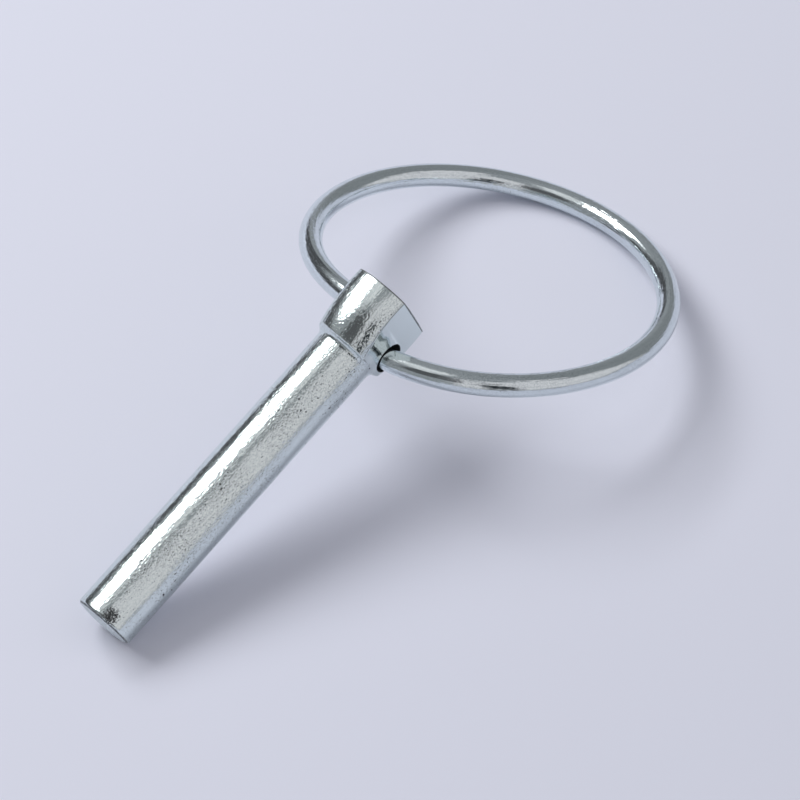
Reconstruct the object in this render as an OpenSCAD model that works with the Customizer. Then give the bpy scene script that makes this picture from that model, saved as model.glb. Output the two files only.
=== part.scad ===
// Lynch pin: a cold-headed steel shank with a sprung wire ring in its head.
// The pin lies as it rests on a table: the edge of the tip and the far side
// of the ring touch z = 0, and the head stands up between them.

/* [Shank] */
// Diameter of the shank
shank_d = 8; // [6:0.5:10]
// Length of the shank from the head's shoulder to the tip
shank_len = 45.5; // [38:0.5:55]
// Width of the bevel round the tip
tip_bevel = 0.4; // [0.2:0.1:0.8]
// Height of the low dome on the tip's end face
tip_dome = 0.3; // [0.1:0.1:0.6]

/* [Head] */
// Length of the head along the shank
head_len = 8; // [7:0.5:11]
// Diameter of the round part of the head
head_d = 11.8; // [10.5:0.1:13]
// How far the head's centre lies below the shank's axis
head_drop = 0.4; // [0.2:0.1:1]
// Distance across the two flats of the head
flat_w = 7.8; // [6.6:0.1:8.4]
// Rise of the crowned end of the head
crown_rise = 0.3; // [0.1:0.1:0.8]
// Axial length of the cone that blends the shank into the head
shoulder_len = 0.7; // [0.4:0.1:1]

/* [Ring holes] */
// Diameter of each of the two blind holes
hole_d = 4; // [3.8:0.1:4.4]
// Depth of each hole from its flat
hole_depth = 3.2; // [2.4:0.1:3.4]
// Distance of the near pivot behind the shoulder
pivot_back = 2.1; // [1.9:0.1:3]
// Distance of the near pivot below the shank's axis
pivot_drop = 1.9; // [1.5:0.1:2.2]
// Direction in which the spring presses the wire in its hole
seat_angle = 35; // [0:5:90]

/* [Ring] */
// Diameter of the ring wire
wire_d = 3; // [2.6:0.1:3.2]
// Mean diameter of the ring
ring_d = 46; // [40:0.5:52]
// Angle between the ring and the shank
ring_angle = 140; // [125:1:150]
// Twist at each of the three bends of the sprung ring
ring_twist = 3.6; // [2:0.1:5]
// Lean of the ring about its own centre line
ring_lean = 5.5; // [0:0.5:8]
// Length of the wire end inside the near hole
stub_len = 2; // [1.5:0.1:2.2]

/* [Clearances] */
// Running clearance between the wire and its hole
pivot_gap = 0.05; // [0.03:0.01:0.1]
// Clearance between the free wire end and the far flat
end_gap = 0.2; // [0.15:0.05:0.4]

/* [Hidden] */
$fn = 96;

zinc = [0.72, 0.76, 0.80];
zinc_dark = [0.58, 0.62, 0.68];

shank_r = shank_d / 2;
head_r = head_d / 2;
hole_r = hole_d / 2;
wire_r = wire_d / 2;
ring_r = ring_d / 2;
flat_y = flat_w / 2;

// Step from the shank down to its root inside the head, and least width of
// the flat step round the shoulder's cone
root_step = 0.5;
shoulder_step = 0.2;

// Radius of a sphere whose cap has this height over this radius
function cap_radius(rise, r) = (r * r + rise * rise) / (2 * rise);

// Vector v turned by angle a about the unit axis k
function spin(v, k, a) = v * cos(a) + cross(k, v) * sin(a) + k * (k * v) * (1 - cos(a));

// The ring is four equal-radius arcs. Neighbouring arcs share a tangent,
// and each is turned about it by ring_twist, which lifts one wire end
// above the other. Each half runs from the far side back to the head.
end_reach = asin((flat_y + end_gap) / ring_r);

// Angle a, moved by less than 0.001 degree so that its cosine has six digits.
// An exact export prints six, and neighbouring arcs then meet edge to edge.
function six_digit(a) = acos(round(cos(a) * 1e6) / 1e6);
half_twist = six_digit(ring_twist / 2);
full_twist = six_digit(ring_twist);
arc_spans = [90, 90 - end_reach];

// The straight near end runs on into its arc by near_run. The far end's arc
// runs on by the angle far_lap and is then cut off.
near_run = 0.3 * wire_r;
far_lap = 0.8 * wire_r / ring_r * 180 / PI;

// Point where a half ring ends, walked arc by arc in the ring's own frame
function half_end(p, out, along, arc, twist) =
    let (
        radial = spin(out, along, twist),
        centre = p - ring_r * radial,
        span = arc_spans[arc],
        next_out = cos(span) * radial + sin(span) * along,
        next_along = cos(span) * along - sin(span) * radial,
        next_p = centre + ring_r * next_out
    )
    arc == len(arc_spans) - 1
        ? next_p
        : half_end(next_p, next_out, next_along, arc + 1, full_twist);

// The same point in the pin's frame, and the place of the ring that puts it
// on the pivot
function ring_to_pin(p) = spin(spin(p, [1, 0, 0], -ring_lean), [0, 1, 0], ring_angle);

wire_end = half_end([ring_d, 0, 0], [1, 0, 0], [0, 1, 0], 0, half_twist);
pivot = [-pivot_back, 0, -pivot_drop];
wire_end_pin = ring_to_pin(wire_end);
ring_origin = pivot - [wire_end_pin.x, 0, wire_end_pin.z];
far_end_pin = ring_origin + ring_to_pin([wire_end.x, -wire_end.y, -wire_end.z]);

// Each hole's centre lies off its wire, which rests on one side of it
seat_shift = (hole_r - wire_r - pivot_gap) * [cos(seat_angle), 0, sin(seat_angle)];
near_hole = pivot - seat_shift;
far_hole = [far_end_pin.x, 0, far_end_pin.z] - seat_shift;

// Points along the far half of the ring's centre line, in the pin's frame
far_out = spin([1, 0, 0], [0, 1, 0], half_twist);
far_arc = [for (a = [0 : 0.5 : 90]) [ring_d, 0, 0] - ring_r * (far_out - cos(a) * far_out - sin(a) * [0, 1, 0])];
far_half = [for (p = far_arc, side = [1, -1]) ring_origin + ring_to_pin([p.x, side * p.y, side * p.z])];

// Heights of the lowest points of the ring and the tip when the shank slopes
bevel_x = shank_len - tip_dome;
function up_at(slope) = [-sin(slope), 0, cos(slope)];
function ring_low(slope) = min([for (p = far_half) p * up_at(slope)]) - wire_r;
function tip_low(slope) = min(
    [bevel_x, 0, tip_bevel - shank_r] * up_at(slope),
    [bevel_x - tip_bevel, 0, -shank_r] * up_at(slope)
);

// Slope at which both touch the table, found by halving
function level_slope(low, high, steps) =
    let (mid = (low + high) / 2)
    steps == 0
        ? mid
        : tip_low(mid) > ring_low(mid)
            ? level_slope(mid, high, steps - 1)
            : level_slope(low, mid, steps - 1);
rest_slope = level_slope(0, 60, 30);

// Shift that puts the lowest points on z = 0 and the origin at mid length
function to_rest(p) = spin(spin(p, [0, 0, 1], 180), [0, 1, 0], -rest_slope);
rest_ring_x = max([for (p = far_half) to_rest(p).x]) + wire_r;
rest_tip_x = min(
    to_rest([bevel_x, 0, shank_r - tip_bevel]).x,
    to_rest([bevel_x - tip_bevel, 0, shank_r]).x
);
rest_shift = [-(rest_ring_x + rest_tip_x) / 2, 0, -tip_low(rest_slope)];

// Round shank with a bevelled tip and a low dome on its end face. Its root is
// thinner, to stay inside the flats, and runs on into the head.
module shank_turned() {
    dome_r = cap_radius(tip_dome, shank_r - tip_bevel);
    root_r = min(shank_r, flat_y) - root_step;
    rotate([0, 90, 0]) {
        translate([0, 0, -shoulder_len])
            cylinder(r = root_r, h = 3 * shoulder_len);
        translate([0, 0, shoulder_len])
            cylinder(r = shank_r, h = bevel_x - tip_bevel - shoulder_len);
        translate([0, 0, bevel_x - tip_bevel])
            cylinder(r1 = shank_r, r2 = shank_r - tip_bevel, h = tip_bevel);
        intersection() {
            translate([0, 0, bevel_x])
                cylinder(r = shank_r, h = shank_r);
            translate([0, 0, shank_len - dome_r])
                sphere(r = dome_r);
        }
    }
}

// Eccentric round head with a crowned end, pressed to two flats
module head_blank() {
    crown_r = cap_radius(crown_rise, head_r);
    intersection() {
        union() {
            translate([-head_len, 0, -head_drop])
                rotate([0, 90, 0])
                    cylinder(r = head_r, h = head_len);
            rotate([0, 90, 0])
                cylinder(r1 = head_r - head_drop - shoulder_step, r2 = shank_r, h = shoulder_len);
        }
        translate([-head_len + crown_r, 0, -head_drop])
            sphere(r = crown_r);
        translate([-2 * head_len, -flat_y, -head_d])
            cube([3 * head_len, flat_w, 2 * head_d]);
    }
}

// Blind hole into one flat: side is 1 for the near flat and -1 for the far
module ring_hole(centre, side) {
    translate([centre.x, side * (flat_y - hole_depth), centre.z])
        rotate([-90 * side, 0, 0])
            cylinder(r = hole_r, h = hole_depth + 1);
}

module pin_solid() {
    color(zinc)
        difference() {
            union() {
                shank_turned();
                head_blank();
            }
            ring_hole(near_hole, 1);
            ring_hole(far_hole, -1);
        }
}

// Arcs of one half of the ring, each turned about its shared tangent. The
// last one runs on past the wire's end by the angle lap.
module wire_arcs(arc, twist, lap) {
    last = arc == len(arc_spans) - 1;
    rotate([0, twist, 0])
        translate([-ring_r, 0, 0]) {
            rotate_extrude(angle = arc_spans[arc] + (last ? lap : 0))
                translate([ring_r, 0])
                    circle(r = wire_r);
            if (!last)
                rotate([0, 0, arc_spans[arc]])
                    translate([ring_r, 0, 0])
                        wire_arcs(arc + 1, full_twist, lap);
        }
}

module half_ring(lap) {
    translate([ring_d, 0, 0])
        wire_arcs(0, half_twist, lap);
}

module ring_place() {
    translate(ring_origin)
        rotate([0, ring_angle, 0])
            rotate([-ring_lean, 0, 0])
                children();
}

// The near end turns straight along the pivot inside its hole. The far end
// is cut off parallel to its flat.
module ring_solid() {
    color(zinc_dark)
        difference() {
            union() {
                ring_place() {
                    half_ring(0);
                    rotate([180, 0, 0])
                        half_ring(far_lap);
                }
                translate([pivot.x, flat_y - stub_len, pivot.z])
                    rotate([-90, 0, 0])
                        cylinder(r = wire_r, h = stub_len + wire_end_pin.y + near_run - flat_y);
            }
            translate([far_end_pin.x - wire_d, -flat_y - end_gap, far_end_pin.z - wire_d])
                cube([2 * wire_d, flat_y, 2 * wire_d]);
        }
}

module at_rest() {
    translate(rest_shift)
        rotate([0, -rest_slope, 0])
            rotate([0, 0, 180])
                children();
}

module pin() {
    at_rest()
        pin_solid();
}

module ring() {
    at_rest()
        ring_solid();
}

pin();
ring();
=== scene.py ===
"""Lynch pin: a flatted, cold-headed shank and its sprung wire ring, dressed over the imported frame."""

from __future__ import annotations

import logging
import math
from dataclasses import dataclass, field
from enum import Enum

import bmesh
import bpy
import numpy as np
from mathutils import Matrix, Vector


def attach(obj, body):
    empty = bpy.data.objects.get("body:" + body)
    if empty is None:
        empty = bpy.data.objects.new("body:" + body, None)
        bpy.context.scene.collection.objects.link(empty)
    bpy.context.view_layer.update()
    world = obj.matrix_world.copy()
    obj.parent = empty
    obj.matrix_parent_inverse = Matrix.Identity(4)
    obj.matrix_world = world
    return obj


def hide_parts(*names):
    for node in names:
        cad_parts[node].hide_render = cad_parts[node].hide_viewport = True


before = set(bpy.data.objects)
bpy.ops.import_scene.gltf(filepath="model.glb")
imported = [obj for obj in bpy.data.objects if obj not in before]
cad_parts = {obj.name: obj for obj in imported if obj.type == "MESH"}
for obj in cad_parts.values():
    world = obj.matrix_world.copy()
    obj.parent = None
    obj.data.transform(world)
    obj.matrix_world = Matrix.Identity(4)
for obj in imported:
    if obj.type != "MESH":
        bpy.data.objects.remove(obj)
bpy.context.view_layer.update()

LOG = logging.getLogger("lynch_pin")
MM = 0.001
GRAIN = "grain"

Triple = tuple[float, float, float]


class Side(Enum):
    """Flat of the head that a ring hole opens in, by the sign of its normal."""

    NEAR = 1
    FAR = -1


class Grain(Enum):
    """How a finish runs over a piece: how much longer its marks are than wide."""

    TURNED = 7.0
    DRAWN = 14.0


@dataclass(frozen=True)
class RestPlace:
    """Where the pin's own axes lie when the part rests on its tip and ring.

    The pin's own frame has +X from the shoulder to the tip and +Y out of the near flat, in mm.
    """

    slope_deg: float = 18.1689
    shift: Triple = (-1.57991, 0.0, 17.7701)

    def turn(self) -> np.ndarray:
        """Rotation from the pin's frame to the row's."""
        c, s = math.cos(math.radians(self.slope_deg)), math.sin(math.radians(self.slope_deg))
        return np.array([[-c, 0.0, -s], [0.0, -1.0, 0.0], [-s, 0.0, c]])

    def to_row(self, points: np.ndarray) -> np.ndarray:
        """Takes points from the pin's frame in mm to the row's in metres.

        Args:
            points: An array of points, three numbers each.

        Returns:
            The same points in the row's frame.
        """
        return (points @ self.turn().T + np.array(self.shift)) * MM

    def to_pin(self, points: np.ndarray) -> np.ndarray:
        """Takes points from the row's frame in metres to the pin's in mm.

        Args:
            points: An array of points, three numbers each.

        Returns:
            The same points in the pin's frame.
        """
        return (points / MM - np.array(self.shift)) @ self.turn()


def write_grain(mesh: bpy.types.Mesh, values: np.ndarray) -> None:
    """Keeps a finish's own coordinates on a mesh, in mm with x along the piece.

    Args:
        mesh: The mesh that gets the attribute.
        values: One triple for each vertex.
    """
    layer = mesh.attributes.get(GRAIN) or mesh.attributes.new(GRAIN, "FLOAT_VECTOR", "POINT")
    layer.data.foreach_set("vector", values.astype(np.float32).ravel())


def soften(mesh: bpy.types.Mesh, crease_deg: float) -> None:
    """Shades a mesh smoothly, with its creases left sharp.

    Args:
        mesh: The mesh to shade.
        crease_deg: Angle between faces above which their edge stays sharp.
    """
    work = bmesh.new()
    work.from_mesh(mesh)
    for face in work.faces:
        face.smooth = True
    for edge in work.edges:
        edge.smooth = len(edge.link_faces) != 2 or edge.calc_face_angle(0.0) < math.radians(crease_deg)
    work.to_mesh(mesh)
    work.free()


def mesh_volume(mesh: bpy.types.Mesh) -> float:
    """Signed volume of a mesh in cubic mm, which is positive when its faces point outwards."""
    work = bmesh.new()
    work.from_mesh(mesh)
    volume = work.calc_volume(signed=True) / MM**3
    work.free()
    return volume


@dataclass
class NodeGraph:
    """Short hand for building one shader tree."""

    tree: bpy.types.NodeTree

    def add(self, kind: str, **settings: object) -> bpy.types.Node:
        """Adds a node and sets its properties.

        Args:
            kind: The node's type name.
            **settings: Properties of the node and their values.

        Returns:
            The new node.
        """
        node = self.tree.nodes.new(kind)
        for name, value in settings.items():
            setattr(node, name, value)
        return node

    def join(self, source: bpy.types.NodeSocket, target: bpy.types.NodeSocket) -> None:
        """Links an output to an input."""
        self.tree.links.new(source, target)

    def feed(self, target: bpy.types.NodeSocket, value: object) -> None:
        """Gives an input a value, or a link when the value is a socket."""
        if isinstance(value, bpy.types.NodeSocket):
            self.join(value, target)
        else:
            target.default_value = value

    def math(self, operation: str, *values: object, clamp: bool = False) -> bpy.types.NodeSocket:
        """Adds a Math node.

        Args:
            operation: The node's operation.
            *values: Its inputs, as numbers or sockets.
            clamp: Whether the result stays from 0 to 1.

        Returns:
            The node's output.
        """
        node = self.add("ShaderNodeMath", operation=operation, use_clamp=clamp)
        for socket, value in zip(node.inputs, values):
            self.feed(socket, value)
        return node.outputs[0]

    def times(self, first: object, second: object) -> bpy.types.NodeSocket:
        """Product of two values."""
        return self.math("MULTIPLY", first, second)

    def most(self, first: object, second: object) -> bpy.types.NodeSocket:
        """Greater of two values."""
        return self.math("MAXIMUM", first, second)

    def ramp(
        self, value: object, low: float, high: float, to_low: float = 0.0, to_high: float = 1.0
    ) -> bpy.types.NodeSocket:
        """Adds a smooth step from one range to another.

        Args:
            value: The socket to read.
            low: Value at which the step starts.
            high: Value at which it ends.
            to_low: Result at the start.
            to_high: Result at the end.

        Returns:
            The stepped value.
        """
        node = self.add("ShaderNodeMapRange", interpolation_type="SMOOTHSTEP")
        for socket, given in zip(node.inputs, (value, low, high, to_low, to_high)):
            self.feed(socket, given)
        return node.outputs[0]

    def window(self, value: object, low: float, high: float, soft: float) -> bpy.types.NodeSocket:
        """Adds a smooth window, which is 1 from one value to another.

        Args:
            value: The socket to read.
            low: Where the window opens.
            high: Where it closes.
            soft: Half the width of each edge.

        Returns:
            The window, from 0 to 1.
        """
        opening = self.ramp(value, low - soft, low + soft)
        closing = self.ramp(value, high - soft, high + soft, 1.0, 0.0)
        return self.times(opening, closing)

    def blend(self, factor: object, first: object, second: object) -> bpy.types.NodeSocket:
        """Adds a colour mix.

        Args:
            factor: Share of the second colour.
            first: The first colour.
            second: The second colour.

        Returns:
            The mixed colour.
        """
        node = self.add("ShaderNodeMix", data_type="RGBA")
        self.feed(node.inputs["Factor"], factor)
        self.feed(node.inputs[6], first)
        self.feed(node.inputs[7], second)
        return node.outputs[2]

    def noise(
        self,
        vector: bpy.types.NodeSocket,
        scale: Triple,
        detail: float = 3.0,
        roughness: float = 0.55,
        offset: Triple = (0.0, 0.0, 0.0),
    ) -> bpy.types.NodeSocket:
        """Adds a noise on stretched coordinates.

        Args:
            vector: The coordinates, in mm.
            scale: Repeats for each mm, along each axis.
            detail: Octaves of the noise.
            roughness: How strong the finer octaves are.
            offset: Shift of the pattern.

        Returns:
            The noise, from 0 to 1.
        """
        place = self.add("ShaderNodeMapping")
        self.join(vector, place.inputs["Vector"])
        place.inputs["Scale"].default_value = scale
        place.inputs["Location"].default_value = offset
        node = self.add("ShaderNodeTexNoise")
        node.inputs["Scale"].default_value = 1.0
        node.inputs["Detail"].default_value = detail
        node.inputs["Roughness"].default_value = roughness
        self.join(place.outputs[0], node.inputs["Vector"])
        return node.outputs["Fac"]

    def specks(
        self,
        vector: bpy.types.NodeSocket,
        size_mm: float,
        stretch: float,
        detail: float,
        roughness: float,
        offset: Triple = (0.0, 0.0, 0.0),
    ) -> bpy.types.NodeSocket:
        """Adds a noise of specks of one size.

        Args:
            vector: The coordinates, in mm.
            size_mm: A speck's width.
            stretch: How much longer a speck is than wide, along x.
            detail: Octaves of the noise.
            roughness: How strong the finer octaves are.
            offset: Shift of the pattern.

        Returns:
            The noise, from 0 to 1.
        """
        across = 1 / size_mm
        return self.noise(vector, (1 / (size_mm * stretch), across, across), detail, roughness, offset)


@dataclass(frozen=True)
class RimLine:
    """Dark, ragged line in the colour round an end, just inside its edge."""

    start: float
    stop: float
    least_off: float


@dataclass(frozen=True)
class Stain:
    """Spot where the plating has burnt dark and rough."""

    centre: Triple
    radius: float


@dataclass(frozen=True)
class ZincFinish:
    """Bright bluish zinc plating with lengthwise marks, a mottled skin and dark pits, with a thin line of painted
    shade along the flats' edge.
    """

    name: str
    grain: Grain
    tint: Triple = (0.73, 0.805, 0.805)
    shade: Triple = (0.60, 0.66, 0.67)
    # Near-black for pits, stains, rim lines and end faces, and also for the painted shade line along the flats'
    # edge.
    soot_and_painted_shade: Triple = (0.045, 0.047, 0.05)
    roughness: tuple[float, float] = (0.09, 0.2)
    scratch_mm: float = 0.19
    scratch_height: float = 2.0e-5
    mottle_mm: float = 0.25
    mottle_height: float = 4.4e-5
    swell_mm: float = 3.2
    swell_height: float = 4.0e-5
    speck_mm: float = 0.15
    speck_share: float = 0.46
    pit_mm: float = 0.14
    pit_level: float = 0.675
    pit_height: float = -2.0e-5
    coarse_pit: float = 2.6
    crowd_scale: Triple = (0.12, 0.25, 0.25)
    worn_share: float = 0.35
    grit_tone: float = 0.55
    dark_dullness: float = 0.3
    cut_dullness: float = 0.2
    rim_ragged_mm: float = 0.35
    flat_y: float | None = None
    cut_beyond: tuple[float, float] | None = None
    rims: tuple[RimLine, ...] = ()
    stains: tuple[Stain, ...] = ()

    def rim_marks(self, graph: NodeGraph, along: object, off: object, ragged: object) -> object:
        """Finds the dark lines round the ends.

        Args:
            graph: The material's graph.
            along: Place along the piece, in mm.
            off: Distance from its axis, in mm.
            ragged: A fine noise that breaks up the lines.

        Returns:
            How dark each place is, from 0 to 1.
        """
        dark: object = 0.0
        soft, off_soft = 0.04, 0.05
        wander = graph.times(graph.math("SUBTRACT", ragged, 0.5), self.rim_ragged_mm)
        shifted = graph.math("ADD", along, wander)
        for rim in self.rims:
            inside = graph.window(shifted, rim.start, rim.stop, soft)
            line = graph.times(inside, graph.ramp(off, rim.least_off - off_soft, rim.least_off + off_soft))
            dark = graph.most(dark, graph.times(line, graph.ramp(ragged, 0.3, 0.6, 0.35, 0.95)))
        return dark

    def stain_marks(self, graph: NodeGraph, grain: bpy.types.NodeSocket, ragged: object) -> object:
        """Finds the burnt spots.

        Args:
            graph: The material's graph.
            grain: The piece's own coordinates.
            ragged: A fine noise that breaks up the spots.

        Returns:
            How dark each place is, from 0 to 1.
        """
        dark: object = 0.0
        for stain in self.stains:
            gap = graph.add("ShaderNodeVectorMath", operation="DISTANCE")
            graph.join(grain, gap.inputs[0])
            gap.inputs[1].default_value = stain.centre
            near = graph.ramp(gap.outputs["Value"], stain.radius * 0.3, stain.radius, 1.0, 0.0)
            spots = graph.ramp(graph.math("ADD", graph.times(near, 0.22), ragged), 0.6, 0.68)
            dark = graph.most(dark, graph.times(spots, graph.ramp(near, 0.0, 0.3)))
        return dark

    def flats_and_edge_shade(self, graph: NodeGraph, along: object, across: object) -> tuple[object, object]:
        """Finds the pressed flats, which are smooth, and paints a thin dark line of shade just inside their edge.

        Args:
            graph: The material's graph.
            along: Place along the piece, in mm.
            across: Place across its flats, in mm.

        Returns:
            How dark the painted edge shade makes each place, and each place's share of the texture, from 0 to 1.
        """
        if self.flat_y is None:
            return 0.0, 1.0
        # The dark line just short of the flats is painted shade at their edge, not a mark in the zinc.
        painted_edge_shade, smoothing = 0.55, 0.94
        side = graph.math("ABSOLUTE", across)
        on_head = graph.ramp(along, -0.2, 0.3, 1.0, 0.0)
        line_start = graph.ramp(side, self.flat_y - 0.09, self.flat_y - 0.06)
        line_end = graph.ramp(side, self.flat_y - 0.03, self.flat_y - 0.005, 1.0, 0.0)
        line = graph.times(graph.times(line_start, line_end), on_head)
        flat = graph.times(graph.ramp(side, self.flat_y - 0.05, self.flat_y - 0.01), on_head)
        return graph.times(line, painted_edge_shade), graph.math("SUBTRACT", 1.0, graph.times(flat, smoothing))

    def cut_marks(self, graph: NodeGraph, along: object) -> object:
        """Finds the sheared end faces.

        Args:
            graph: The material's graph.
            along: Place along the piece, in mm.

        Returns:
            Whether a place is on an end face, from 0 to 1.
        """
        if self.cut_beyond is None:
            return 0.0
        low, high = self.cut_beyond
        soft = 0.02
        head_end = graph.ramp(along, low - soft, low + soft, 1.0, 0.0)
        return graph.most(head_end, graph.ramp(along, high - soft, high + soft))

    def build(self) -> bpy.types.Material:
        """Builds the finish.

        Returns:
            The material.
        """
        material = bpy.data.materials.new(self.name)
        material.use_nodes = True
        graph = NodeGraph(material.node_tree)
        graph.tree.nodes.clear()
        grain = graph.add("ShaderNodeAttribute", attribute_name=GRAIN).outputs["Vector"]
        stretch = self.grain.value
        scratch = graph.specks(grain, self.scratch_mm, stretch * 3, 1.0, 0.5)
        mottle = graph.specks(grain, self.mottle_mm, stretch / 5, 0.7, 0.5, (7.3, 1.9, 4.4))
        swell = graph.specks(grain, self.swell_mm, 2.0, 2.0, 0.5, (2.1, 9.4, 5.7))
        speck = graph.specks(grain, self.speck_mm, 1.4, 3.0, 0.7, (19.0, 6.2, 1.7))
        crowd = graph.noise(grain, self.crowd_scale, 2.0, 0.5, (3.0, 17.0, 8.0))
        pits: object = 0.0
        coarse = (self.pit_mm * self.coarse_pit, self.pit_level + 0.03, 47.0)
        for size, level, shift in ((self.pit_mm, self.pit_level, 31.0), coarse):
            seed = graph.specks(grain, size, 1.5, 2.0, 0.6, (shift, 12.5, 3.3))
            crowded = graph.math("ADD", seed, graph.times(crowd, 0.2))
            pits = graph.most(pits, graph.ramp(crowded, level + 0.08, level + 0.12))

        parts = graph.add("ShaderNodeSeparateXYZ")
        graph.join(grain, parts.inputs[0])
        along, across, up = parts.outputs
        off = graph.math("SQRT", graph.math("ADD", graph.math("POWER", across, 2.0), graph.math("POWER", up, 2.0)))
        # line carries the painted shade along the flats' edge; texture is the flats' smoothing.
        line, texture = self.flats_and_edge_shade(graph, along, across)
        cut = self.cut_marks(graph, along)
        texture = graph.times(texture, graph.math("SUBTRACT", 1.0, graph.times(cut, 0.55)))
        dark = graph.most(self.rim_marks(graph, along, off, speck), self.stain_marks(graph, grain, speck))
        dark = graph.most(graph.most(dark, line), graph.times(pits, texture))
        dark = graph.most(dark, graph.times(cut, graph.ramp(mottle, 0.4, 0.6, 0.06, 0.3)))
        streak = graph.math("ADD", graph.times(mottle, 0.5), graph.times(scratch, 0.5))
        worn = graph.times(graph.ramp(streak, 0.38, 0.66), texture)
        clustered = graph.times(graph.ramp(crowd, 0.34, 0.66, 0.45, 1.35), texture)
        grit = graph.times(graph.ramp(speck, 0.44, 0.66), graph.ramp(crowd, 0.36, 0.62, 0.3, 1.0))
        grit = graph.times(grit, texture)

        shader = graph.add("ShaderNodeBsdfPrincipled")
        shader.inputs["Metallic"].default_value = 1.0
        gritty = tuple(self.grit_tone * c for c in self.shade)
        colour = graph.blend(graph.times(worn, self.worn_share), (*self.tint, 1.0), (*self.shade, 1.0))
        colour = graph.blend(graph.times(grit, self.speck_share), colour, (*gritty, 1.0))
        # The near-black colour darkens pits, stains, rim lines and end faces, and paints the shade along the flats'
        # edge.
        graph.join(graph.blend(dark, colour, (*self.soot_and_painted_shade, 1.0)), shader.inputs["Base Color"])
        rough = graph.math("ADD", graph.ramp(worn, 0.0, 1.0, *self.roughness), graph.times(cut, self.cut_dullness))
        rough = graph.math("ADD", rough, graph.times(dark, self.dark_dullness))
        graph.join(rough, shader.inputs["Roughness"])

        layers = (
            (swell, self.swell_height, texture),
            (mottle, self.mottle_height, clustered),
            (scratch, self.scratch_height, clustered),
            (pits, self.pit_height, clustered),
        )
        normal: bpy.types.NodeSocket | None = None
        for height, depth, strength in layers:
            bump = graph.add("ShaderNodeBump")
            graph.feed(bump.inputs["Strength"], strength)
            bump.inputs["Distance"].default_value = abs(depth)
            bump.invert = depth < 0
            graph.join(height, bump.inputs["Height"])
            if normal is not None:
                graph.join(normal, bump.inputs["Normal"])
            normal = bump.outputs[0]
        graph.join(normal, shader.inputs["Normal"])
        graph.join(shader.outputs[0], graph.add("ShaderNodeOutputMaterial").inputs[0])
        return material


@dataclass(frozen=True)
class HoleShadeFinish:
    """Near-black colour painted over each blind hole's walls and bottom as their shade, with faint turning rings."""

    name: str = "hole_painted_shade"
    # colour is the painted shade of the hole; the rings run between it and twice it.
    colour: Triple = (0.03, 0.032, 0.035)

    def build(self) -> bpy.types.Material:
        """Builds the finish.

        Returns:
            The material.
        """
        material = bpy.data.materials.new(self.name)
        material.use_nodes = True
        graph = NodeGraph(material.node_tree)
        graph.tree.nodes.clear()
        grain = graph.add("ShaderNodeAttribute", attribute_name=GRAIN).outputs["Vector"]
        rings = graph.noise(grain, (2.0, 9.0, 2.0), 3.0, 0.6)
        shader = graph.add("ShaderNodeBsdfPrincipled")
        shader.inputs["Metallic"].default_value = 0.6
        shader.inputs["Roughness"].default_value = 0.55
        bright = tuple(2 * c for c in self.colour)
        colour = graph.blend(rings, (*self.colour, 1.0), (*bright, 1.0))
        graph.join(colour, shader.inputs["Base Color"])
        bump = graph.add("ShaderNodeBump")
        bump.inputs["Distance"].default_value = 2.0e-5
        graph.join(rings, bump.inputs["Height"])
        graph.join(bump.outputs[0], shader.inputs["Normal"])
        graph.join(shader.outputs[0], graph.add("ShaderNodeOutputMaterial").inputs[0])
        return material


@dataclass(frozen=True)
class FloorFinish:
    """Smooth pale paper."""

    name: str = "floor_paper"
    colour: Triple = (0.765, 0.785, 0.895)

    def build(self) -> bpy.types.Material:
        """Builds the finish.

        Returns:
            The material.
        """
        material = bpy.data.materials.new(self.name)
        material.use_nodes = True
        graph = NodeGraph(material.node_tree)
        graph.tree.nodes.clear()
        shader = graph.add("ShaderNodeBsdfDiffuse")
        shader.inputs["Color"].default_value = (*self.colour, 1.0)
        graph.join(shader.outputs[0], graph.add("ShaderNodeOutputMaterial").inputs[0])
        return material


def round_max(a: np.ndarray, b: np.ndarray, radius: float) -> np.ndarray:
    """Largest of two distances, with their meeting edge rounded.

    Args:
        a: The first distances.
        b: The second distances.
        radius: Width of the rounding.

    Returns:
        The joined distances.
    """
    mix = np.clip(radius - np.abs(a - b), 0.0, None)
    return np.maximum(a, b) + mix * mix / (4 * radius)


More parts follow.
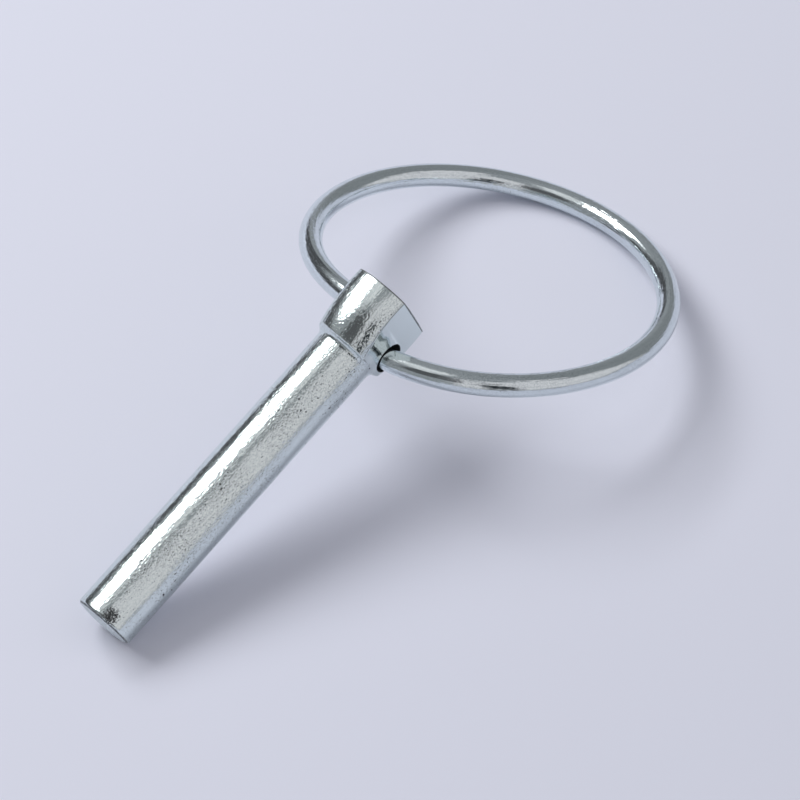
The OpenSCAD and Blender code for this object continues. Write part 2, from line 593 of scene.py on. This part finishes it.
@dataclass
class PinBody:
    """The flatted head and its round shank, as one skin with rounded edges and a filleted neck."""

    place: RestPlace
    finish: ZincFinish
    hole_shade: HoleShadeFinish
    shank_r: float = 4.0
    shank_len: float = 45.5
    tip_bevel: float = 0.3
    tip_dome: float = 0.3
    head_len: float = 8.3
    belly_r: float = 6.15
    belly_at: float = -6.0
    belly_fall: float = 0.0275
    head_drop: tuple[float, float] = (0.3, 0.02)
    head_aside: float = -0.25
    flat_y: float = 3.9
    flat_roll: tuple[float, float] = (22.0, 0.3)
    crown_rise: float = 0.2
    shoulder_r: float = 5.15
    shoulder_len: float = 0.58
    hole_r: float = 2.03
    hole_depth: float = 3.2
    hole_at: dict[Side, tuple[float, float]] = field(
        default_factory=lambda: {Side.NEAR: (-2.46862, -2.15811), Side.FAR: (-5.30995, 1.22805)}
    )
    corner: float = 0.45
    rim: float = 0.12
    neck: float = 0.55
    columns: int = 132
    corner_columns: int = 26

    def distance(self, p: np.ndarray) -> np.ndarray:
        """How far points lie outside the skin.

        Args:
            p: Points in the pin's frame.

        Returns:
            Their distances, below 0 inside.
        """
        x, y, z = p[..., 0], p[..., 1], p[..., 2]
        off = np.hypot(y, z)
        along = np.clip(x, -self.head_len, 1.5)
        aside, up = y - self.head_aside, z + self.head_drop[0] + self.head_drop[1] * along
        radius = self.belly_r - self.belly_fall * (along - self.belly_at) ** 2
        around = np.hypot(aside, up)
        lean = math.radians(self.flat_roll[0])
        half = np.sqrt(radius**2 - self.flat_y**2) - self.flat_roll[1]
        roll = (np.abs(y) - self.flat_y) * math.cos(lean) + (np.abs(up) - half) * math.sin(lean)
        head = round_max(around - radius, roll, self.corner)
        head = round_max(head, np.abs(y) - self.flat_y, 0.04)
        crown = -x - self.head_len + around**2 * self.crown_rise / self.belly_r**2
        head = round_max(head, crown, self.rim)
        pitch = math.atan2(self.shoulder_r - self.shank_r, self.shoulder_len)
        face = x * math.sin(pitch) + (off - self.shoulder_r) * math.cos(pitch)
        head = round_max(head, face, self.rim)
        dome_r = ((self.shank_r - self.tip_bevel) ** 2 + self.tip_dome**2) / (2 * self.tip_dome)
        end = x - self.shank_len + off * off / (2 * dome_r)
        cone = (x - (self.shank_len - self.tip_dome) + off - self.shank_r + self.tip_bevel) * math.sqrt(0.5)
        shank = round_max(off - self.shank_r, cone, 0.1)
        shank = round_max(shank, end, 0.06)
        shank = np.maximum(shank, -x - self.head_len / 2)
        return -round_max(-head, -shank, self.neck)

    def angles(self) -> np.ndarray:
        """Directions of the skin's columns round the axis, closer together at the flats' corners."""
        half = math.sqrt(self.belly_r**2 - self.flat_y**2)
        corners = [
            math.atan2(way * half - self.head_drop[0], side * self.flat_y)
            for side in (1, -1)
            for way in (1, -1)
        ]
        even = np.linspace(0, 2 * math.pi, self.columns, endpoint=False)
        close = [c + np.linspace(-0.13, 0.13, self.corner_columns) for c in corners]
        found = np.sort(np.mod(np.concatenate([even, *close]), 2 * math.pi))
        keep = np.diff(found, append=found[0] + 2 * math.pi) > 0.004
        return found[keep]

    def rays(self) -> tuple[np.ndarray, np.ndarray]:
        """Start on the axis, and tilt from it, of each ring of the skin from the head's end to the tip.

        Returns:
            The starts along x, and the angles from +X.
        """
        start_head, start_tip = -self.head_len / 2, self.shank_len - 3.0
        rim_angle = math.atan2(self.belly_r, -self.head_len / 2)
        tip_angle = math.atan2(self.shank_r, 3.0)
        head_fan = np.unique(np.concatenate([
            np.linspace(math.pi - 0.02, math.pi / 2, 70), np.linspace(rim_angle - 0.16, rim_angle + 0.2, 50)]))[::-1]
        tip_fan = np.unique(np.concatenate([
            np.linspace(0.02, math.pi / 2, 50), np.linspace(tip_angle - 0.16, tip_angle + 0.06, 40)]))[::-1]
        run = np.unique(np.concatenate([
            np.linspace(start_head, -0.9, 12), np.linspace(-0.9, 1.8, 60), np.linspace(1.8, start_tip, 50)]))[1:-1]
        starts = np.concatenate([np.full(head_fan.size, start_head), run, np.full(tip_fan.size, start_tip)])
        tilts = np.concatenate([head_fan, np.full(run.size, math.pi / 2), tip_fan])
        return starts, tilts

    def skin(self) -> bpy.types.Mesh:
        """Casts rays from the axis to the surface and joins where they end.

        Returns:
            The closed skin, before its holes.
        """
        starts, tilts = self.rays()
        turn = self.angles()
        ray = np.stack([
            np.repeat(np.cos(tilts)[:, None], turn.size, 1),
            np.sin(tilts)[:, None] * np.cos(turn)[None],
            np.sin(tilts)[:, None] * np.sin(turn)[None],
        ], -1)
        origin = np.zeros_like(ray)
        origin[..., 0] = starts[:, None]
        low, high = np.zeros(ray.shape[:2]), np.full(ray.shape[:2], 9.0)
        for _ in range(34):
            mid = (low + high) / 2
            outside = self.distance(origin + ray * mid[..., None]) > 0
            high, low = np.where(outside, mid, high), np.where(outside, low, mid)
        points = origin + ray * ((low + high) / 2)[..., None]
        rows, cols = points.shape[:2]
        ends = np.array([[-self.head_len, 0.0, 0.0], [self.shank_len, 0.0, 0.0]])
        ends[0, 0] += self.head_drop[0] ** 2 * self.crown_rise / self.belly_r**2
        vertices = self.place.to_row(np.concatenate([points.reshape(-1, 3), ends]))
        faces: list[tuple[int, ...]] = []
        for i in range(rows - 1):
            for j in range(cols):
                k = (j + 1) % cols
                faces.append((i * cols + j, i * cols + k, (i + 1) * cols + k, (i + 1) * cols + j))
        last = (rows - 1) * cols
        for j in range(cols):
            k = (j + 1) % cols
            faces.append((rows * cols, k, j))
            faces.append((rows * cols + 1, last + j, last + k))
        mesh = bpy.data.meshes.new("pin_skin")
        mesh.from_pydata(vertices.tolist(), [], faces)
        mesh.validate()
        if mesh_volume(mesh) < 0:
            mesh.flip_normals()
        return mesh

    def hole_cutter(self, side: Side) -> bpy.types.Object:
        """A plug in the shape of one blind hole, with a slightly broken mouth.

        Args:
            side: The flat that the hole opens in.

        Returns:
            The plug, to be cut from the skin.
        """
        x, z = self.hole_at[side]
        profile = (
            (0.0, self.flat_y - self.hole_depth),
            (self.hole_r, self.flat_y - self.hole_depth),
            (self.hole_r, self.flat_y - 0.12),
            (self.hole_r + 0.07, self.flat_y - 0.02),
            (self.hole_r + 0.12, self.flat_y + 1.0),
            (0.0, self.flat_y + 1.0),
        )
        count = 96
        work = bmesh.new()
        rings = []
        turns = [2 * math.pi * k / count for k in range(count)]
        for radius, depth in profile:
            spots = [(radius * math.cos(a), radius * math.sin(a)) for a in turns] if radius else [(0.0, 0.0)]
            local = np.array([(x + a, side.value * depth, z + b) for a, b in spots])
            rings.append([work.verts.new(v) for v in self.place.to_row(local)])
        for first, second in zip(rings, rings[1:]):
            for k in range(count):
                n = (k + 1) % count
                if len(first) == 1:
                    work.faces.new((first[0], second[k], second[n]))
                elif len(second) == 1:
                    work.faces.new((first[k], second[0], first[n]))
                else:
                    work.faces.new((first[k], second[k], second[n], first[n]))
        bmesh.ops.recalc_face_normals(work, faces=work.faces)
        mesh = bpy.data.meshes.new(f"hole_{side.name.lower()}")
        work.to_mesh(mesh)
        work.free()
        cutter = bpy.data.objects.new(mesh.name, mesh)
        bpy.context.scene.collection.objects.link(cutter)
        return cutter

    def build(self) -> bpy.types.Object:
        """Builds the whole pin, drilled and dressed.

        Returns:
            The pin's object, riding on its body.
        """
        blank = bpy.data.objects.new("blank", self.skin())
        bpy.context.scene.collection.objects.link(blank)
        plated, hole_shade_paint = self.finish.build(), self.hole_shade.build()
        blank.data.materials.append(plated)
        cutters = [self.hole_cutter(side) for side in Side]
        for cutter in cutters:
            # The holes' walls and bottom take the near-black painted shade.
            cutter.data.materials.append(hole_shade_paint)
            drill = blank.modifiers.new("drill", "BOOLEAN")
            drill.operation, drill.solver, drill.object = "DIFFERENCE", "EXACT", cutter
            drill.material_mode = "TRANSFER"
        bpy.context.view_layer.update()
        graph = bpy.context.evaluated_depsgraph_get()
        mesh = bpy.data.meshes.new_from_object(blank.evaluated_get(graph))
        for spare in (blank, *cutters):
            bpy.data.objects.remove(spare)
        mesh.name = "lynch_pin_shank"
        soften(mesh, 32.0)
        plane_mm, square = self.flat_y - 0.01, 0.99995
        for face in mesh.polygons:
            if abs(face.normal.y) > square and abs(face.center.y) * 1000 > plane_mm:
                face.use_smooth = False
        spots = np.zeros(len(mesh.vertices) * 3, np.float32)
        mesh.vertices.foreach_get("co", spots)
        write_grain(mesh, self.place.to_pin(spots.reshape(-1, 3).astype(float)))
        pin = bpy.data.objects.new("lynch_pin_shank", mesh)
        bpy.context.scene.collection.objects.link(pin)
        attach(pin, "pin")
        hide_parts("pin")
        LOG.info("pin: %d faces, %.1f mm3", len(mesh.polygons), mesh_volume(mesh))
        return pin


def spin(v: np.ndarray, axis: np.ndarray, angle: float) -> np.ndarray:
    """Vector v turned about a unit axis by an angle in radians."""
    return v * math.cos(angle) + np.cross(axis, v) * math.sin(angle) + axis * (axis @ v) * (1 - math.cos(angle))


@dataclass
class WireRing:
    """The sprung ring: four equal arcs of drawn wire, each turned a little about its neighbour."""

    place: RestPlace
    finish: ZincFinish
    wire_r: float = 1.5
    mean_r: float = 23.0
    angle_deg: float = 140.0
    lean_deg: float = 5.5
    twist_deg: float = 3.6
    pivot: Triple = (-2.1, 0.0, -1.9)
    flat_y: float = 3.9
    end_gap: float = 0.2
    stub_len: float = 2.0
    far_lap_mm: float = 1.2
    end_pull: Triple = (-0.175, 0.0, 0.06)
    pull_reach: float = 16.0
    sides: int = 40
    pieces: int = 260

    def half(self, lap_mm: float) -> np.ndarray:
        """Centre line of one half in the ring's own frame, from the far side to the head.

        Args:
            lap_mm: How far it runs past its end.

        Returns:
            Points along the half.
        """
        reach = math.asin((self.flat_y + self.end_gap) / self.mean_r)
        spans = (math.pi / 2, math.pi / 2 - reach + lap_mm / self.mean_r)
        at, out, along = np.array([2 * self.mean_r, 0, 0]), np.array([1.0, 0, 0]), np.array([0, 1.0, 0])
        twist = math.radians(self.twist_deg) / 2
        points = [at]
        for span in spans:
            out = spin(out, along, twist)
            centre = at - self.mean_r * out
            for a in np.linspace(0, span, self.pieces // 2 + 1)[1:]:
                points.append(centre + self.mean_r * (math.cos(a) * out + math.sin(a) * along))
            at = points[-1]
            out, along = math.cos(span) * out + math.sin(span) * along, math.cos(span) * along - math.sin(span) * out
            twist = math.radians(self.twist_deg)
        return np.array(points)

    def to_pin(self, points: np.ndarray) -> np.ndarray:
        """Takes points of the ring's own frame to the pin's, with its near end on the pivot."""
        lean, angle = math.radians(-self.lean_deg), math.radians(self.angle_deg)
        end = self.half(0.0)[-1]
        x_axis, y_axis = np.array([1.0, 0, 0]), np.array([0, 1.0, 0])
        turned = np.array([spin(spin(p, x_axis, lean), y_axis, angle) for p in [end, *points]])
        shift = np.array([self.pivot[0] - turned[0, 0], 0.0, self.pivot[2] - turned[0, 2]])
        return turned[1:] + shift

    def centre_line(self) -> np.ndarray:
        """The whole wire, from its end in the near hole round to the far flat.

        Returns:
            Points in the pin's frame.
        """
        near = self.half(0.0)[::-1]
        far = self.half(self.far_lap_mm)[1:] * np.array([1.0, -1.0, -1.0])
        line = self.to_pin(np.concatenate([near, far]))
        stub_y = np.linspace(self.flat_y - self.stub_len, line[0, 1] - 0.15, 14)
        stub = np.stack([np.full(14, self.pivot[0]), stub_y, np.full(14, self.pivot[2])], -1)
        line = np.concatenate([stub, line[1:]])
        steps = np.concatenate([[0.0], np.cumsum(np.linalg.norm(np.diff(line, axis=0), axis=1))])
        near_end = np.clip(np.minimum(steps, steps[-1] - steps) / self.pull_reach, 0.0, 1.0)
        line += (1 - near_end * near_end * (3 - 2 * near_end))[:, None] * np.array(self.end_pull)
        bend = slice(9, 22)
        for _ in range(12):
            smooth = line.copy()
            smooth[1:-1] = (line[:-2] + 2 * line[1:-1] + line[2:]) / 4
            line[bend] = smooth[bend]
        return line

    def sweep_tree(self, material: bpy.types.Material) -> bpy.types.GeometryNodeTree:
        """Nodes that draw a round wire along a curve and keep where each point lies on it.

        Args:
            material: Not used; the finish comes in through the tree's Finish input.

        Returns:
            The node tree.
        """
        tree = bpy.data.node_groups.new("wire_sweep", "GeometryNodeTree")
        face = tree.interface
        face.new_socket("Geometry", in_out="INPUT", socket_type="NodeSocketGeometry")
        face.new_socket("Wire radius", in_out="INPUT", socket_type="NodeSocketFloat")
        face.new_socket("Sides", in_out="INPUT", socket_type="NodeSocketInt")
        face.new_socket("Finish", in_out="INPUT", socket_type="NodeSocketMaterial")
        face.new_socket("Geometry", in_out="OUTPUT", socket_type="NodeSocketGeometry")
        graph = NodeGraph(tree)
        source, sink = graph.add("NodeGroupInput"), graph.add("NodeGroupOutput")
        circle = graph.add("GeometryNodeCurvePrimitiveCircle", mode="RADIUS")
        graph.join(source.outputs["Wire radius"], circle.inputs["Radius"])
        graph.join(source.outputs["Sides"], circle.inputs["Resolution"])
        along = graph.add("GeometryNodeStoreNamedAttribute", data_type="FLOAT", domain="POINT")
        along.inputs["Name"].default_value = "run"
        graph.join(source.outputs["Geometry"], along.inputs["Geometry"])
        graph.join(graph.add("GeometryNodeSplineParameter").outputs["Length"], along.inputs["Value"])
        around = graph.add("GeometryNodeStoreNamedAttribute", data_type="FLOAT_VECTOR", domain="POINT")
        around.inputs["Name"].default_value = "round"
        graph.join(circle.outputs["Curve"], around.inputs["Geometry"])
        graph.join(graph.add("GeometryNodeInputPosition").outputs[0], around.inputs["Value"])
        sweep = graph.add("GeometryNodeCurveToMesh")
        graph.join(along.outputs["Geometry"], sweep.inputs["Curve"])
        graph.join(around.outputs["Geometry"], sweep.inputs["Profile Curve"])
        sweep.inputs["Fill Caps"].default_value = True
        whole = graph.add("GeometryNodeRealizeInstances")
        graph.join(sweep.outputs[0], whole.inputs[0])
        dress = graph.add("GeometryNodeSetMaterial")
        graph.join(whole.outputs[0], dress.inputs["Geometry"])
        graph.join(source.outputs["Finish"], dress.inputs["Material"])
        graph.join(dress.outputs[0], sink.inputs["Geometry"])
        return tree

    def swept(self, material: bpy.types.Material) -> bpy.types.Mesh:
        """The wire as a mesh, before its far end is cut.

        Args:
            material: The wire's finish.

        Returns:
            The mesh, with its attributes.
        """
        line = self.place.to_row(self.centre_line())
        curve = bpy.data.curves.new("ring_line", "CURVE")
        curve.dimensions = "3D"
        spline = curve.splines.new("POLY")
        spline.points.add(len(line) - 1)
        spline.points.foreach_set("co", np.concatenate([line, np.ones((len(line), 1))], 1).ravel())
        path = bpy.data.objects.new("ring_line", curve)
        bpy.context.scene.collection.objects.link(path)
        tree = self.sweep_tree(material)
        modifier = path.modifiers.new("sweep", "NODES")
        modifier.node_group = tree
        given = {"Wire radius": self.wire_r * MM, "Sides": self.sides, "Finish": material}
        for item in tree.interface.items_tree:
            if item.in_out == "INPUT" and item.name in given:
                modifier[item.identifier] = given[item.name]
        bpy.context.view_layer.update()
        graph = bpy.context.evaluated_depsgraph_get()
        mesh = bpy.data.meshes.new_from_object(path.evaluated_get(graph))
        bpy.data.objects.remove(path)
        return mesh

    def trim(self, mesh: bpy.types.Mesh) -> None:
        """Cuts the far end off parallel to its flat and closes it.

        Args:
            mesh: The swept wire.
        """
        turn = self.place.turn()
        spot = Vector(self.place.to_row(np.array([[0.0, -self.flat_y - self.end_gap, 0.0]]))[0])
        normal = Vector(turn @ np.array([0.0, 1.0, 0.0]))
        far = self.place.to_row(self.centre_line()[-1:])[0]
        work = bmesh.new()
        work.from_mesh(mesh)
        close = [f for f in work.faces if (f.calc_center_median() - Vector(far)).length < 4.5 * MM]
        parts = list({v for f in close for v in f.verts}) + list({e for f in close for e in f.edges}) + close
        cut = bmesh.ops.bisect_plane(work, geom=parts, plane_co=spot, plane_no=normal, clear_outer=True)
        rim = [e for e in cut["geom_cut"] if isinstance(e, bmesh.types.BMEdge)]
        bmesh.ops.holes_fill(work, edges=rim, sides=0)
        bmesh.ops.recalc_face_normals(work, faces=work.faces)
        work.to_mesh(mesh)
        work.free()

    def build(self) -> bpy.types.Object:
        """Builds the ring and dresses it.

        Returns:
            The ring's object, riding on its body.
        """
        material = self.finish.build()
        mesh = self.swept(material)
        mesh.name = "wire_ring"
        self.trim(mesh)
        count = len(mesh.vertices)
        run, around = np.zeros(count, np.float32), np.zeros(count * 3, np.float32)
        mesh.attributes["run"].data.foreach_get("value", run)
        mesh.attributes["round"].data.foreach_get("vector", around)
        around = around.reshape(-1, 3)
        write_grain(mesh, np.stack([run, around[:, 0], around[:, 1]], -1) / MM)
        for spare in ("run", "round"):
            mesh.attributes.remove(mesh.attributes[spare])
        soften(mesh, 40.0)
        if mesh_volume(mesh) < 0:
            mesh.flip_normals()
        ring = bpy.data.objects.new("wire_ring", mesh)
        bpy.context.scene.collection.objects.link(ring)
        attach(ring, "ring")
        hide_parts("ring")
        LOG.info("ring: %d faces, %.1f mm3", len(mesh.polygons), mesh_volume(mesh))
        return ring


@dataclass(frozen=True)
class SkyPatch:
    """A soft-edged part of the studio's walls and ceiling."""

    azimuth: float
    half_width: float
    low: float
    high: float
    level: Triple
    soft: float = 10.0


@dataclass
class Studio:
    """Pale floor, one large soft box, a soft room round them and the camera."""

    floor_half: float = 6.0
    base: Triple = (0.3, 0.31, 0.325)
    backdrop: Triple = (0.66, 0.675, 0.77)
    patches: tuple[SkyPatch, ...] = (
        SkyPatch(115.0, 60.0, 66.0, 95.0, (0.80, 0.79, 0.80), 26.0),
        SkyPatch(-90.0, 62.0, 3.0, 71.0, (0.70, 0.675, 0.695)),
        SkyPatch(0.0, 32.0, 0.0, 58.0, (0.24, 0.25, 0.26)),
        SkyPatch(-170.0, 24.0, 34.0, 66.0, (0.10, 0.10, 0.105), 8.0),
        SkyPatch(-124.0, 10.0, 6.0, 46.0, (0.03, 0.035, 0.04), 6.0),
        SkyPatch(100.0, 48.0, -5.0, 22.0, (0.085, 0.085, 0.09), 6.0),
    )
    key_azimuth: float = 102.0
    key_elevation: float = 50.0
    key_distance: float = 0.8
    key_size: tuple[float, float] = (0.56, 0.37)
    key_level: float = 6.25
    camera_at: Triple = (-0.246214, -0.288108, 0.502783)
    camera_right: Triple = (0.709181, -0.703457, -0.047013)
    camera_up: Triple = (0.581059, 0.545416, 0.604063)
    lens: float = 225.0

    def world(self) -> None:
        """Builds the room's soft walls and ceiling."""
        world = bpy.data.worlds.new("studio_room")
        world.use_nodes = True
        graph = NodeGraph(world.node_tree)
        graph.tree.nodes.clear()
        way = graph.add("ShaderNodeSeparateXYZ")
        graph.join(graph.add("ShaderNodeTexCoord").outputs["Generated"], way.inputs[0])
        x, y, z = way.outputs
        height = graph.math("MULTIPLY", graph.math("ARCSINE", z), 180 / math.pi)
        around = graph.math("MULTIPLY", graph.math("ARCTAN2", y, x), 180 / math.pi)
        colour: object = (*self.base, 1.0)
        for patch in self.patches:
            soft = patch.soft / 2
            turned = graph.math("WRAP", graph.math("SUBTRACT", around, patch.azimuth), 180.0, -180.0)
            aside = graph.math("ABSOLUTE", turned)
            wide = graph.ramp(aside, patch.half_width - soft, patch.half_width + soft, 1.0, 0.0)
            mask = graph.times(wide, graph.window(height, patch.low, patch.high, soft))
            colour = graph.blend(mask, colour, (*patch.level, 1.0))
        seen = graph.add("ShaderNodeLightPath").outputs["Is Camera Ray"]
        colour = graph.blend(seen, colour, (*self.backdrop, 1.0))
        light = graph.add("ShaderNodeBackground")
        graph.feed(light.inputs["Color"], colour)
        graph.join(light.outputs[0], graph.add("ShaderNodeOutputWorld").inputs[0])
        bpy.context.scene.world = world

    def floor(self) -> None:
        """Lays the floor under the part."""
        s = self.floor_half
        mesh = bpy.data.meshes.new("floor")
        mesh.from_pydata([(-s, -s, 0), (s, -s, 0), (s, s, 0), (-s, s, 0)], [], [(0, 1, 2, 3)])
        mesh.materials.append(FloorFinish().build())
        floor = bpy.data.objects.new("floor", mesh)
        bpy.context.scene.collection.objects.link(floor)

    def soft_box(self) -> None:
        """Hangs the large soft box that lights the part."""
        a, e = math.radians(self.key_azimuth), math.radians(self.key_elevation)
        way = Vector((math.cos(a) * math.cos(e), math.sin(a) * math.cos(e), math.sin(e)))
        lamp = bpy.data.lights.new("soft_box", "AREA")
        lamp.shape = "RECTANGLE"
        lamp.size, lamp.size_y = self.key_size
        lamp.energy = self.key_level * math.pi * self.key_size[0] * self.key_size[1]
        holder = bpy.data.objects.new("soft_box", lamp)
        holder.location = way * self.key_distance
        holder.rotation_mode = "QUATERNION"
        holder.rotation_quaternion = way.to_track_quat("Z", "Y")
        bpy.context.scene.collection.objects.link(holder)

    def camera(self) -> None:
        """Sets up the camera."""
        right, up = Vector(self.camera_right).normalized(), Vector(self.camera_up)
        up = (up - right * up.dot(right)).normalized()
        back = right.cross(up)
        data = bpy.data.cameras.new("camera")
        data.lens = self.lens
        data.clip_start, data.clip_end = 0.01, 50.0
        camera = bpy.data.objects.new("camera", data)
        camera.matrix_world = Matrix.Translation(self.camera_at) @ Matrix((right, up, back)).transposed().to_4x4()
        bpy.context.scene.collection.objects.link(camera)
        bpy.context.scene.camera = camera

    def build(self) -> None:
        """Builds the whole studio."""
        self.world()
        self.floor()
        self.soft_box()
        self.camera()
        LOG.info("studio: %d wall patches", len(self.patches))


def main() -> None:
    """Builds the part and its studio in order."""
    logging.basicConfig(level=logging.INFO, format="%(name)s %(message)s")
    bpy.context.scene.view_settings.view_transform = "Standard"
    place = RestPlace()
    bar = ZincFinish(
        "zinc_pin",
        Grain.TURNED,
        flat_y=3.9,
        cut_beyond=(-8.15, 45.22),
        rims=(RimLine(-8.17, -7.94, 3.75), RimLine(44.98, 45.24, 3.7)),
        stains=(Stain((44.13, 2.03, 3.45), 1.5),),
    )
    wire = ZincFinish(
        "zinc_ring",
        Grain.DRAWN,
        tint=(0.735, 0.805, 0.825),
        shade=(0.595, 0.655, 0.68),
        scratch_height=2.4e-5,
        mottle_height=1.5e-5,
        speck_share=0.4,
        pit_level=0.75,
    )
    PinBody(place, bar, HoleShadeFinish()).build()
    WireRing(place, wire).build()
    Studio().build()


if __name__ == "__main__":
    main()
